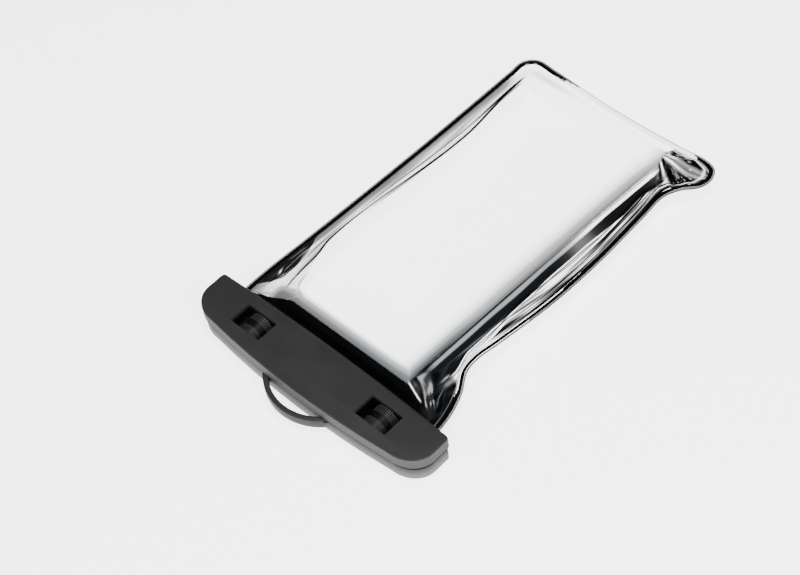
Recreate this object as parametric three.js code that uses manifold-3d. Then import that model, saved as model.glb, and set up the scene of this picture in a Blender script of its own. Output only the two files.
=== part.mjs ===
// Waterproof phone pouch: a clear film envelope with a black welded border, shut at its mouth by a
// clamp bar. The bar is a front jaw and a rear jaw with the film between them. Two thumb rollers in the
// front jaw each hold a spiral wall that draws in the head of a post of the rear jaw and shuts the bar.
// Millimetres. X runs along the bar, Y from the bar to the far end of the pouch, +Z out of the front.
// The pouch lies on its back on z = 0, with its origin under the middle of its outline.

import * as THREE from "three";
import { mergeVertices } from "three/addons/utils/BufferGeometryUtils.js";
import Module from "manifold-3d";

const wasm = await Module();
wasm.setup();

// Clearance between pieces that touch on the real pouch
const clearance = 0.3;

// Clamp bar outline, measured from the centre of the two windows
const barHalfLength = 58.7;
const barPouchEdge = 10.65;
const barFreeEdge = 12.1;
const pouchEdgeBow = 1.45;
const freeEdgeBow = 2.6;
const smallCornerRadius = 1.8;
const largeCornerLength = 12.5;
const largeCornerWidth = 10.3;
const barThickness = 13;
const leastCornerRadius = 0.4;
const rearInset = 0.5;
const edgeRounding = 0.6;

// Film and the stack of layers between the jaws
const filmPlane = 6.5;
const filmThickness = 0.3;
const bandThickness = 0.3;
const sealProud = 0.15;
const sealWidth = 1.3;
const sealHeight = 1.5;
const sealMargin = 0.7;
const sealEndInset = 7.7;

// Jaw walls
const coverWall = 1.6;
const coverFace = 1.6;
const carrierThickness = 1.75;
const carrierGap = 0.3;
const rearWall = 1.6;
const rearFloor = 0.9;
const wellFloor = 1.4;
const wellMargin = 0.8;
const openingMargin = 0.2;
const ribDrop = 0.2;

// Thumb rollers, with a smooth drum between two knurled flanges, and their pins
const rollerEndInset = 26.1;
const rollerRadius = 5.6;
const rollerLength = 8.8;
const rollerSink = 0.6;
const knurlTeeth = 40;
const knurlDepth = 0.35;
const drumRadius = 5.2;
const drumLength = 3.2;
const hubWall = 0.6;
const pinRadius = 0.8;
const saddleThickness = 0.9;
const saddleHalfLength = 2.6;
const saddleDepth = 1.9;

// Windows over the rollers
const windowLength = 15.2;
const windowWidth = 9.7;
const windowCorner = 0.5;

// Lock: a post of the rear jaw with a cross head, and the spiral room for that head in the roller
const postDepth = 2.6;
const postHeadRadius = 0.55;
const postHeadLength = 3;
const postThickness = 1;
const releaseTravel = 1.8;
const releaseAngle = Math.PI / 2;
const lockLead = Math.PI / 7;

// Guide pins and cover screws
const guideEndInset = 5.5;
const guideOffset = 3;
const guideRadius = 1.5;
const guideTop = 10.9;
const outerScrewEndInset = 13.1;
const innerScrewSpread = 12;
const screwOffset = -2.5;
const screwRadius = 0.8;
const screwHeadRadius = 1.6;
const screwHeadHeight = 1;
const screwHeadChamfer = 0.3;
const screwHeadSink = 0.1;
const bossWall = 1.1;
const faceOverBoss = 0.9;

// Lanyard loop: a band between two arcs about one centre
const loopReach = 6.9;
const loopBand = 2.2;
const loopRadius = 23.4;
const loopUnderside = 3.2;

// Pocket for the phone
const pocketHalfWidth = 36.3;
const pocketStart = 17;
const pocketLength = 147.6;
const pocketCorner = 9;
const pocketTop = 12.3;

// Welded border, as the path of its middle: [x, y, z] from the right end of the mouth round to the left
const rimWidth = 2.6;
const rimThickness = 0.9;
const rimEndInset = 9.1;
const rimMouthHalf = barHalfLength - rimEndInset;
const rimPath = [
  [rimMouthHalf, 6.3, filmPlane],
  [rimMouthHalf - 0.1, 12, filmPlane],
  [48.2, 20, 6.7],
  [45.4, 28, 7.2],
  [40.9, 36, 8],
  [40.1, 43, 8.2],
  [41.4, 54, 7.8],
  [44.4, 80, 7.4],
  [45.3, 106, 7.4],
  [44.4, 134, 7.4],
  [44.1, 147, 7.6],
  [47.4, 154, 7.9],
  [52.2, 159.4, 8],
  [53.3, 164.6, 8],
  [51.3, 169, 8],
  [46, 170.7, 7.8],
  [36, 170.2, 7.6],
  [0, 170, 7.4],
  [-32, 172.2, 7.4],
  [-41.5, 172.4, 7.4],
  [-45.4, 168.4, 7.4],
  [-45.6, 160, 7.4],
  [-46.3, 106, 7.4],
  [-48.4, 48, 7.2],
  [-49.9, 24, 6.8],
  [-rimMouthHalf - 0.5, 14, filmPlane],
  [-rimMouthHalf, 6.3, filmPlane],
];

// Which points of the border face each side and corner of the pocket
const rightCornerEnd = 3;
const rightSideEnd = 10;
const earEnd = 16;
const farSideEnd = 18;
const farCornerEnd = 21;
const leftSideEnd = 24;
const rimEnd = rimPath.length - 1;

// How far a cut runs past the face it opens, and how far one joined body runs into the next
const cutPast = 1;
const joinDepth = 0.2;

// How finely curves are cut into facets
const curveFacets = 8;
const edgeFacets = 3;
const sealFacets = 4;
const roundFacets = 16;
const drumFacets = 40;
const lockFacets = 10;
const longSideSteps = 12;
const shortSideSteps = 8;
const nearCornerSteps = 6;
const farCornerSteps = 8;

// Heights of the layers, from the film plane outwards
const sheetOuter = clearance / 2 + filmThickness;
const bandOuter = sheetOuter + clearance + bandThickness;
const landOffset = bandOuter + clearance;
const coverBottom = filmPlane + landOffset;
const rearLand = filmPlane - landOffset;
const rearTop = coverBottom - clearance;
const coverCeiling = barThickness - coverFace;
const carrierBottom = coverBottom + carrierGap;
const carrierTop = carrierBottom + carrierThickness;
const rollerHeight = barThickness - rollerSink - rollerRadius;

// Places along the bar, on both sides of its middle
const sealHalfLength = barHalfLength - sealEndInset;
const rollerSpread = barHalfLength - rollerEndInset;
const guideSpread = barHalfLength - guideEndInset;
const outerScrewSpread = barHalfLength - outerScrewEndInset;

// Lines across the bar
const saddleInner = rollerLength / 2 + clearance;
const saddleOuter = saddleInner + saddleThickness;
const wellEdge = saddleOuter + clearance;
const carrierEdge = saddleOuter + clearance / 2;
const lipEdge = carrierEdge + clearance;
const filmStart = wellEdge + clearance;
const sealStart = filmStart + sealMargin;
const sealEnd = sealStart + sealWidth;
const rimMouth = rimPath[0][1];

// Outer radius of the rear band's eyes round the guide pins
const bandEye = guideRadius + 2 * clearance + bossWall;

// A piece's geometry as a solid that can be joined and cut
function toSolid(geometry) {
  const bare = geometry.clone();
  bare.deleteAttribute("normal");
  bare.deleteAttribute("uv");
  const welded = mergeVertices(bare);
  const vertProperties = new Float32Array(welded.attributes.position.array);
  const triVerts = new Uint32Array(welded.index.array);
  return new wasm.Manifold(new wasm.Mesh({ numProp: 3, vertProperties, triVerts }));
}

// A solid back as geometry
function toGeometry(solid) {
  const mesh = solid.getMesh();
  const geometry = new THREE.BufferGeometry();
  geometry.setAttribute("position", new THREE.BufferAttribute(mesh.vertProperties, 3));
  geometry.setIndex(new THREE.BufferAttribute(mesh.triVerts, 1));
  geometry.computeVertexNormals();
  return geometry;
}

// A box between two corners
function block(low, high) {
  const geometry = new THREE.BoxGeometry(high[0] - low[0], high[1] - low[1], high[2] - low[2]);
  geometry.translate((low[0] + high[0]) / 2, (low[1] + high[1]) / 2, (low[2] + high[2]) / 2);
  return toSolid(geometry);
}

// An outline raised from one height to another
function prism(outline, bottom, top) {
  const depth = top - bottom;
  const options = { depth, bevelEnabled: false, curveSegments: curveFacets };
  const geometry = new THREE.ExtrudeGeometry(outline, options);
  geometry.translate(0, 0, bottom);
  return toSolid(geometry);
}

// The same with both end edges rounded
function roundedPrism(outline, bottom, top, rounding) {
  const geometry = new THREE.ExtrudeGeometry(outline, {
    depth: top - bottom - 2 * rounding,
    curveSegments: curveFacets,
    bevelThickness: rounding,
    bevelSize: rounding,
    bevelOffset: -rounding,
    bevelSegments: edgeFacets,
  });
  geometry.translate(0, 0, bottom + rounding);
  return toSolid(geometry);
}

// An outline drawn in X and Z, run along Y about a point of the XZ plane
function alongY(outline, startY, endY, x, z) {
  const options = { depth: endY - startY, bevelEnabled: false, curveSegments: drumFacets / 2 };
  const geometry = new THREE.ExtrudeGeometry(outline, options);
  geometry.rotateX(Math.PI / 2);
  geometry.translate(x, endY, z);
  return toSolid(geometry);
}

// A round rod along Z
function upright(radius, bottom, top, x, y) {
  const geometry = new THREE.CylinderGeometry(radius, radius, top - bottom, roundFacets);
  geometry.rotateX(Math.PI / 2);
  geometry.translate(x, y, (bottom + top) / 2);
  return toSolid(geometry);
}

// A round rod along Y
function crossRod(radius, startY, endY, x, z) {
  const geometry = new THREE.CylinderGeometry(radius, radius, endY - startY, roundFacets);
  geometry.translate(x, (startY + endY) / 2, z);
  return toSolid(geometry);
}

// Outline of the clamp bar, set in by the same amount all round
function barOutline(inset) {
  const halfLength = barHalfLength - inset;
  const pouchCorner = barPouchEdge - pouchEdgeBow - inset;
  const freeCorner = -(barFreeEdge - freeEdgeBow - inset);
  const smallRadius = Math.max(smallCornerRadius - inset, leastCornerRadius);
  const largeX = largeCornerLength - inset;
  const largeY = largeCornerWidth - inset;
  const outline = new THREE.Shape();
  outline.moveTo(halfLength - largeX, freeCorner);
  outline.absellipse(halfLength - largeX, freeCorner + largeY, largeX, largeY, -Math.PI / 2, 0, false);
  outline.lineTo(halfLength, pouchCorner - smallRadius);
  outline.quadraticCurveTo(halfLength, pouchCorner, halfLength - smallRadius, pouchCorner);
  outline.quadraticCurveTo(0, pouchCorner + 2 * pouchEdgeBow, smallRadius - halfLength, pouchCorner);
  outline.quadraticCurveTo(-halfLength, pouchCorner, -halfLength, pouchCorner - smallRadius);
  outline.lineTo(-halfLength, freeCorner + largeY);
  outline.absellipse(largeX - halfLength, freeCorner + largeY, largeX, largeY, Math.PI, 1.5 * Math.PI, false);
  outline.quadraticCurveTo(0, freeCorner - 2 * freeEdgeBow, halfLength - largeX, freeCorner);
  return outline;
}

// A rectangle with rounded corners
function roundedRectangle(centreX, centreY, length, width, radius) {
  const outline = new THREE.Shape();
  const right = centreX + length / 2;
  const top = centreY + width / 2;
  outline.absarc(right - radius, top - radius, radius, 0, Math.PI / 2, false);
  outline.absarc(right - length + radius, top - radius, radius, Math.PI / 2, Math.PI, false);
  outline.absarc(right - length + radius, top - width + radius, radius, Math.PI, 1.5 * Math.PI, false);
  outline.absarc(right - radius, top - width + radius, radius, 1.5 * Math.PI, 2 * Math.PI, false);
  return outline;
}

// Everything on the pouch side of a line across the bar
function pouchSideOf(line) {
  const far = 2 * barHalfLength;
  return block([-far, line, -barThickness], [far, far, 2 * barThickness]);
}

const sides = { left: -1, right: 1 };
const screwPlaces = [
  [-outerScrewSpread, screwOffset],
  [-innerScrewSpread, screwOffset],
  [innerScrewSpread, screwOffset],
  [outerScrewSpread, screwOffset],
];

// Front cover: a moulded shell with a thick lip over the film, two windows, and a boss for each screw
function frontCover() {
  const outer = roundedPrism(barOutline(0), coverBottom - 2 * edgeRounding, barThickness, edgeRounding);
  const far = 2 * barHalfLength;
  const underside = block([-far, -far, -barThickness], [far, far, coverBottom]);
  const inner = prism(barOutline(coverWall), coverBottom - cutPast, coverCeiling);
  let cover = outer.subtract(underside).subtract(inner.subtract(pouchSideOf(lipEdge)));
  for (const side of Object.values(sides)) {
    const opening = roundedRectangle(side * rollerSpread, 0, windowLength, windowWidth, windowCorner);
    cover = cover.subtract(prism(opening, coverCeiling - cutPast, barThickness + cutPast));
  }
  for (const [x, y] of screwPlaces) {
    const bore = screwRadius + clearance;
    cover = cover.add(upright(bore + bossWall, carrierTop + clearance, coverCeiling + joinDepth, x, y));
    cover = cover.subtract(upright(bore, carrierTop, barThickness - faceOverBoss, x, y));
  }
  const grooveTop = coverBottom - sealProud + sealHeight + clearance;
  const groove = block(
    [-sealHalfLength - clearance, sealStart - clearance, coverBottom - cutPast],
    [sealHalfLength + clearance, sealEnd + clearance, grooveTop],
  );
  return cover.subtract(groove);
}

// Roller carrier: the plate screwed up inside the cover, with two pairs of saddles for the roller pins
function rollerCarrier() {
  const outline = barOutline(coverWall + clearance);
  let carrier = prism(outline, carrierBottom, carrierTop).subtract(pouchSideOf(carrierEdge));
  const well = windowLength / 2 + openingMargin;
  const below = carrierBottom - cutPast;
  const above = carrierTop + cutPast;
  for (const side of Object.values(sides)) {
    const x = side * rollerSpread;
    const bottom = rollerHeight - saddleDepth;
    carrier = carrier.subtract(block([x - well, -saddleInner, below], [x + well, saddleInner, above]));
    for (const start of [-saddleOuter, saddleInner]) {
      const low = [x - saddleHalfLength, start, bottom];
      const high = [x + saddleHalfLength, start + saddleThickness, coverCeiling - clearance];
      carrier = carrier.add(block(low, high));
    }
    const boreEnd = saddleOuter + cutPast;
    carrier = carrier.subtract(crossRod(pinRadius + clearance, -boreEnd, boreEnd, x, rollerHeight));
    const socketRadius = guideRadius + clearance;
    carrier = carrier.subtract(upright(socketRadius, below, above, side * guideSpread, guideOffset));
  }
  for (const [x, y] of screwPlaces) {
    const headTop = carrierBottom + screwHeadHeight;
    carrier = carrier.subtract(upright(screwRadius + clearance, below, above, x, y));
    carrier = carrier.subtract(upright(screwHeadRadius + clearance, below, headTop, x, y));
  }
  return carrier;
}

// Cover screw: a pan head below the carrier's web and a shank up into the boss
function coverScrew() {
  const headBottom = carrierBottom + screwHeadSink;
  const headTop = carrierBottom + screwHeadHeight - clearance;
  const shankTop = barThickness - faceOverBoss - clearance;
  const profile = [
    [0, headBottom],
    [screwHeadRadius - screwHeadChamfer, headBottom],
    [screwHeadRadius, headBottom + screwHeadChamfer],
    [screwHeadRadius, headTop],
    [screwRadius, headTop],
    [screwRadius, shankTop - screwRadius],
    [0, shankTop],
  ];
  const points = profile.map(([radius, height]) => new THREE.Vector2(radius, height));
  return new THREE.LatheGeometry(points, roundFacets).rotateX(Math.PI / 2);
}

// Outline of a knurled flange: one ridge for each tooth
function knurlOutline() {
  const outline = new THREE.Shape();
  for (let edge = 0; edge < 2 * knurlTeeth; edge += 1) {
    const angle = (edge * Math.PI) / knurlTeeth;
    const radius = edge % 2 === 0 ? rollerRadius : rollerRadius - knurlDepth;
    const x = radius * Math.cos(angle);
    const z = radius * Math.sin(angle);
    if (edge === 0) outline.moveTo(x, z);
    else outline.lineTo(x, z);
  }
  return outline;
}

// A fan about the roller's axis, over the angles that pass the post between shut and released
function lockFan(radiusAt) {
  const outline = new THREE.Shape();
  outline.moveTo(0, 0);
  for (let step = 0; step <= lockFacets; step += 1) {
    const angle = ((releaseAngle + lockLead) * step) / lockFacets - lockLead;
    const radius = radiusAt(Math.max(angle, 0) / releaseAngle);
    outline.lineTo(radius * Math.sin(angle), -radius * Math.cos(angle));
  }
  return outline;
}

// Room in the roller for the post: the spiral for its head, a slot for its stem, and the way in at the end
function lockRoom(x) {
  const half = postHeadLength / 2 + clearance;
  const slot = postThickness / 2 + clearance;
  const past = rollerRadius + cutPast;
  const wall = postDepth + postHeadRadius + clearance;
  const spiral = lockFan((released) => wall + releaseTravel * released);
  const entry = postHeadRadius + clearance;
  const hub = crossRod(pinRadius + clearance + hubWall, -half, half, x, rollerHeight);
  return alongY(spiral, -half, half, x, rollerHeight)
    .add(alongY(lockFan(() => past), -slot, slot, x, rollerHeight))
    .add(block([x, -half, rollerHeight - entry], [x + past, half, rollerHeight + entry]))
    .subtract(hub);
}

// Thumb roller: two knurled flanges and the drum between them, hollowed for its post, bored for its pin
function thumbRoller(x) {
  const half = rollerLength / 2;
  const drumHalf = drumLength / 2;
  const flange = knurlOutline();
  const circle = new THREE.Shape().absarc(0, 0, drumRadius, 0, 2 * Math.PI);
  const lower = alongY(flange, -half, -drumHalf, x, rollerHeight);
  const upper = alongY(flange, drumHalf, half, x, rollerHeight);
  const drum = alongY(circle, -drumHalf - joinDepth, drumHalf + joinDepth, x, rollerHeight);
  const bore = crossRod(pinRadius + clearance, -half - cutPast, half + cutPast, x, rollerHeight);
  return lower.add(upper).add(drum).subtract(lockRoom(x)).subtract(bore);
}

// Post of the rear jaw: a stem up into the roller's slot, with a round cross head on top
function lockPost(x) {
  const half = postThickness / 2;
  const headHeight = rollerHeight - postDepth;
  const stem = block([x - half, -half, rearFloor - joinDepth], [x + half, half, headHeight]);
  return stem.add(crossRod(postHeadRadius, -postHeadLength / 2, postHeadLength / 2, x, headHeight));
}

// Lanyard loop: an arched band on the bar's free edge
function lanyardLoop() {
  const centreY = -barFreeEdge - loopReach + loopRadius;
  const root = -barFreeEdge + rearInset + rearWall / 2;
  const outerHalf = Math.acos((centreY - root) / loopRadius);
  const outline = new THREE.Shape();
  outline.absarc(0, centreY, loopRadius, -Math.PI / 2 - outerHalf, -Math.PI / 2 + outerHalf, false);
  const innerRadius = loopRadius - loopBand;
  const innerHalf = Math.acos((centreY - root) / innerRadius);
  outline.absarc(0, centreY, innerRadius, -Math.PI / 2 + innerHalf, -Math.PI / 2 - innerHalf, true);
  return roundedPrism(outline, loopUnderside, rearTop, edgeRounding / 2);
}

// Rear jaw: the back half of the bar, with wells under the rollers, the posts and the lanyard loop
function rearJaw() {
  const far = 2 * barHalfLength;
  const outer = roundedPrism(barOutline(rearInset), 0, rearTop + 2 * edgeRounding, edgeRounding);
  const above = block([-far, -far, rearTop], [far, far, far]);
  const inner = prism(barOutline(rearInset + rearWall), rearLand, rearTop + cutPast);
  const slotHalf = guideSpread + bandEye + clearance;
  const landSide = block([-slotHalf, 0, rearLand], [slotHalf, far, far]);
  let jaw = outer.subtract(above).subtract(inner).subtract(landSide);
  const wellHalf = windowLength / 2 + wellMargin;
  const centreHalf = rollerSpread - wellHalf - rearWall;
  const endStart = rollerSpread + wellHalf + rearWall;
  const endEnd = guideSpread - guideRadius - clearance - rearWall;
  const wellLow = -barFreeEdge + rearInset + rearWall + freeEdgeBow;
  jaw = jaw.subtract(block([-centreHalf, wellLow, wellFloor], [centreHalf, wellEdge, far]));
  for (const side of Object.values(sides)) {
    const x = side * rollerSpread;
    jaw = jaw.subtract(block([x - wellHalf, -wellEdge, rearFloor], [x + wellHalf, wellEdge, far]));
    const ends = [side * endStart, side * endEnd].sort((a, b) => a - b);
    jaw = jaw.subtract(block([ends[0], -saddleOuter, wellFloor], [ends[1], wellEdge - rearWall, far]));
    jaw = jaw.subtract(upright(guideRadius + clearance, wellFloor, far, side * guideSpread, guideOffset));
    jaw = jaw.add(lockPost(x));
  }
  const ribHalf = rearWall / 2;
  const ribTop = rearLand - ribDrop;
  for (const x of [-innerScrewSpread, innerScrewSpread]) {
    const low = [x - ribHalf, wellLow - joinDepth, wellFloor - joinDepth];
    jaw = jaw.add(block(low, [x + ribHalf, wellEdge + joinDepth, ribTop]));
  }
  const grooveBottom = rearLand + sealProud - sealHeight - clearance;
  const groove = block(
    [-sealHalfLength - clearance, sealStart - clearance, grooveBottom],
    [sealHalfLength + clearance, sealEnd + clearance, far],
  );
  return jaw.subtract(groove).add(lanyardLoop());
}

// Seal strip: a soft bar with a crowned face towards the film, made with that face up or down
function sealStrip(base, towards) {
  const half = sealWidth / 2;
  const outline = new THREE.Shape();
  const shoulder = sealHeight - half / 2;
  outline.moveTo(-half, 0);
  outline.lineTo(half, 0);
  outline.lineTo(half, shoulder);
  outline.quadraticCurveTo(half, sealHeight, 0, sealHeight);
  outline.quadraticCurveTo(-half, sealHeight, -half, shoulder);
  const geometry = new THREE.ExtrudeGeometry(outline, {
    depth: 2 * sealHalfLength,
    bevelEnabled: false,
    curveSegments: sealFacets,
  });
  geometry.rotateX(Math.PI / 2);
  geometry.rotateZ(Math.PI / 2);
  if (towards < 0) geometry.rotateX(Math.PI);
  geometry.translate(-sealHalfLength, sealStart + half, base);
  return geometry;
}

// Guide pin: pressed into the rear jaw, with a tapered tip that leads the front jaw on
function guidePin() {
  const bottom = wellFloor + clearance;
  const taper = guideRadius / 2;
  const profile = [
    [0, bottom],
    [guideRadius, bottom],
    [guideRadius, guideTop - taper],
    [guideRadius - taper, guideTop],
    [0, guideTop],
  ];
  const points = profile.map(([radius, height]) => new THREE.Vector2(radius, height));
  return new THREE.LatheGeometry(points, roundFacets).rotateX(Math.PI / 2);
}

// Path of the border's middle
const rimCurve = new THREE.CatmullRomCurve3(rimPath.map(([x, y, z]) => new THREE.Vector3(x, y, z)));

// A point of that path by the number of its control point, and the direction out of the pouch there
function rimAt(place) {
  const fraction = Math.min(Math.max(place / rimEnd, 0), 1);
  const point = rimCurve.getPoint(fraction);
  const along = rimCurve.getTangent(fraction);
  const outward = new THREE.Vector3(along.y, -along.x, 0).normalize();
  return { point, outward };
}

// The pocket's sides and corners in turn, anticlockwise from above, with the stretch of border facing each
function pocketSections() {
  const right = pocketHalfWidth - pocketCorner;
  const near = pocketStart + pocketCorner;
  const end = pocketStart + pocketLength - pocketCorner;

  function side(from, to, steps, start, finish) {
    const pocketAt = (share) => start.clone().lerp(finish, share);
    return { from, to, steps, pocketAt };
  }

  function corner(from, to, steps, x, y, startAngle) {
    const centre = new THREE.Vector2(x, y);
    const spoke = new THREE.Vector2(pocketCorner, 0);
    const origin = new THREE.Vector2();
    function pocketAt(share) {
      return spoke.clone().rotateAround(origin, startAngle + (share * Math.PI) / 2).add(centre);
    }
    return { from, to, steps, pocketAt };
  }

  const rightNear = new THREE.Vector2(pocketHalfWidth, near);
  const rightFar = new THREE.Vector2(pocketHalfWidth, end);
  const farRight = new THREE.Vector2(right, end + pocketCorner);
  const farLeft = new THREE.Vector2(-right, end + pocketCorner);
  const leftFar = new THREE.Vector2(-pocketHalfWidth, end);
  const leftNear = new THREE.Vector2(-pocketHalfWidth, near);
  return [
    corner(0, rightCornerEnd, nearCornerSteps, right, near, -Math.PI / 2),
    side(rightCornerEnd, rightSideEnd, longSideSteps, rightNear, rightFar),
    corner(rightSideEnd, earEnd, farCornerSteps, right, end, 0),
    side(earEnd, farSideEnd, shortSideSteps, farRight, farLeft),
    corner(farSideEnd, farCornerEnd, farCornerSteps, -right, end, Math.PI / 2),
    side(farCornerEnd, leftSideEnd, longSideSteps, leftFar, leftNear),
    corner(leftSideEnd, rimEnd, nearCornerSteps, -right, near, Math.PI),
  ];
}

// Stops along the border, shared by its own sweep and the film's edge so that their facets stay parallel
function borderStops() {
  const stops = [];
  for (const { from, to, steps, pocketAt } of pocketSections()) {
    for (let step = 0; step < steps; step += 1) {
      const share = step / steps;
      stops.push({ ...rimAt(from + (to - from) * share), pocket: pocketAt(share) });
    }
  }
  return stops;
}

// The film's edge and the pocket's edge at each station: first along the mouth, then round the border
function filmStations() {
  const edgeInset = rimWidth / 2 + clearance;
  const mouthHalf = rimPath[0][0] - edgeInset;
  const pocketHalf = pocketHalfWidth - pocketCorner;
  const stations = [];
  for (let step = 0; step < shortSideSteps; step += 1) {
    const across = (2 * step) / shortSideSteps - 1;
    const edge = new THREE.Vector3(mouthHalf * across, filmStart, filmPlane);
    stations.push({ edge, pocket: new THREE.Vector2(pocketHalf * across, pocketStart) });
  }
  for (const { point, outward, pocket } of borderStops()) {
    const edge = point.clone().addScaledVector(outward, -edgeInset);
    edge.y = Math.max(edge.y, filmStart);
    stations.push({ edge, pocket });
  }
  return stations;
}

// Rings of the film from its edge to the pocket, as shares of the way in
const ringShares = [0, 0.25, 0.45, 0.6, 0.75, 0.87, 1];
const slopeStart = 0.3;

// One face of the envelope: flat between the jaws and at the border, rising to the pocket's flat face
function filmSurface(facing) {
  const stations = filmStations();
  const flatEnd = barPouchEdge + 2 * clearance;
  const points = [];
  for (const share of ringShares) {
    for (const { edge, pocket } of stations) {
      const x = THREE.MathUtils.lerp(edge.x, pocket.x, share);
      const y = THREE.MathUtils.lerp(edge.y, pocket.y, share);
      const across = THREE.MathUtils.smoothstep(share, slopeStart, 1);
      const along = THREE.MathUtils.smoothstep(y, flatEnd, pocketStart);
      const start = edge.z + facing * sheetOuter;
      const full = facing > 0 ? pocketTop : 0;
      points.push(new THREE.Vector3(x, y, start + (full - start) * across * along));
    }
  }
  const count = stations.length;
  const triangles = [];
  for (let ring = 0; ring < ringShares.length - 1; ring += 1) {
    for (let step = 0; step < count; step += 1) {
      const here = ring * count + step;
      const next = ring * count + ((step + 1) % count);
      triangles.push([here, next, next + count], [here, next + count, here + count]);
    }
  }
  return { points, triangles, count, facing };
}

// The same surface with its flat face filled in
function withFlatFace(surface) {
  const { count } = surface;
  const lastRing = surface.points.length - count;
  const middle = surface.points.length;
  const height = surface.points[lastRing].z;
  const points = [...surface.points, new THREE.Vector3(0, pocketStart + pocketLength / 2, height)];
  const triangles = [...surface.triangles];
  for (let step = 0; step < count; step += 1) {
    triangles.push([lastRing + step, lastRing + ((step + 1) % count), middle]);
  }
  return { ...surface, points, triangles };
}

// The strip of the surface that faces the mouth, with half of the corner at each end, up to one of its rings
function mouthStrip(surface, lastRing) {
  const { count } = surface;
  const corner = nearCornerSteps / 2;
  const kept = surface.triangles.filter((triangle) => {
    const steps = triangle.map((index) => index % count);
    const facesMouth = steps.every((step) => step <= shortSideSteps + corner || step >= count - corner);
    return facesMouth && Math.max(...triangle) < (lastRing + 1) * count;
  });
  return { ...surface, triangles: kept };
}

// A closed wall on a surface, between two distances along its normals
function thicken(surface, from, to) {
  const used = [...new Set(surface.triangles.flat())];
  const renumbered = new Map(used.map((old, index) => [old, index]));
  const faces = surface.triangles.map((triangle) => triangle.map((old) => renumbered.get(old)));
  const upwards = surface.facing > 0;
  const oriented = upwards ? faces : faces.map(([a, b, c]) => [a, c, b]);
  const skin = new THREE.BufferGeometry();
  skin.setFromPoints(used.map((old) => surface.points[old]));
  skin.setIndex(oriented.flat());
  skin.computeVertexNormals();
  const position = skin.attributes.position;
  const normal = skin.attributes.normal;
  const values = [];
  for (const distance of [to, from]) {
    for (let index = 0; index < used.length; index += 1) {
      const point = new THREE.Vector3().fromBufferAttribute(position, index);
      const direction = new THREE.Vector3().fromBufferAttribute(normal, index);
      values.push(...point.addScaledVector(direction, distance).toArray());
    }
  }
  const directed = new Set(oriented.flatMap(([a, b, c]) => [`${a} ${b}`, `${b} ${c}`, `${c} ${a}`]));
  const under = used.length;
  const indices = oriented.flatMap(([a, b, c]) => [a, b, c, a + under, c + under, b + under]);
  for (const edge of directed) {
    const [a, b] = edge.split(" ").map(Number);
    if (directed.has(`${b} ${a}`)) continue;
    indices.push(a, a + under, b, b, a + under, b + under);
  }
  const geometry = new THREE.BufferGeometry();
  geometry.setAttribute("position", new THREE.Float32BufferAttribute(values, 3));
  geometry.setIndex(indices);
  geometry.computeVertexNormals();
  return geometry;
}

// Ears of the rear mouth band: its ends go over the guide pins, which hold the pouch to the rear jaw
function withEars(geometry) {
  const low = filmPlane - bandOuter;
  const high = low + bandThickness;
  const inner = rimPath[0][0] - 2 * rimWidth;
  let band = toSolid(geometry);
  for (const side of Object.values(sides)) {
    const x = side * guideSpread;
    const strap = [side * inner, x].sort((a, b) => a - b);
    band = band.add(block([strap[0], filmStart, low], [strap[1], filmStart + sealWidth, high]));
    const link = [x - bandEye / 2, x + bandEye / 2];
    band = band.add(block([link[0], guideOffset, low], [link[1], filmStart + sealWidth, high]));
    band = band.add(upright(bandEye, low, high, x, guideOffset));
    band = band.subtract(upright(guideRadius + clearance, low - cutPast, high + cutPast, x, guideOffset));
  }
  return toGeometry(band);
}

// Welded border: a flat band with bevelled edges, swept level along its path
function weldedBorder() {
  const half = rimWidth / 2;
  const thick = rimThickness / 2;
  const bevel = rimThickness / 4;
  const section = [
    [half, -thick + bevel],
    [half, thick - bevel],
    [half - bevel, thick],
    [-half + bevel, thick],
    [-half, thick - bevel],
    [-half, -thick + bevel],
    [-half + bevel, -thick],
    [half - bevel, -thick],
  ];
  const stops = [...borderStops(), rimAt(rimEnd)];
  const values = [];
  for (const { point, outward } of stops) {
    for (const [across, up] of section) {
      const corner = point.clone().addScaledVector(outward, across);
      values.push(corner.x, Math.max(corner.y, rimMouth), corner.z + up);
    }
  }
  const corners = section.length;
  const indices = [];
  for (let stop = 0; stop < stops.length - 1; stop += 1) {
    for (let corner = 0; corner < corners; corner += 1) {
      const here = stop * corners + corner;
      const next = stop * corners + ((corner + 1) % corners);
      indices.push(here, here + corners, next, next, here + corners, next + corners);
    }
  }
  const last = (stops.length - 1) * corners;
  for (let corner = 1; corner < corners - 1; corner += 1) {
    indices.push(0, corner, corner + 1);
    indices.push(last, last + corner + 1, last + corner);
  }
  const geometry = new THREE.BufferGeometry();
  geometry.setAttribute("position", new THREE.Float32BufferAttribute(values, 3));
  geometry.setIndex(indices);
  geometry.computeVertexNormals();
  return geometry;
}

const charcoal = { color: 0x38383a, roughness: 0.6, metalness: 0 };
const glossBlack = { color: 0x0b0b0c, roughness: 0.25, metalness: 0 };
const clearFilm = { color: 0xf2f5f6, roughness: 0.08, metalness: 0, transparent: true, opacity: 0.25 };
const silicone = { color: 0x2a2a2b, roughness: 0.8, metalness: 0 };
const steel = { color: 0xa8abae, roughness: 0.3, metalness: 1 };

const pouch = new THREE.Group();

// Adds a named piece to the pouch, from a solid or from plain geometry
function addPiece(name, shape, finish) {
  const geometry = shape.isBufferGeometry ? shape : toGeometry(shape);
  const mesh = new THREE.Mesh(geometry, new THREE.MeshStandardMaterial(finish));
  mesh.name = name;
  pouch.add(mesh);
  return mesh;
}

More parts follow.
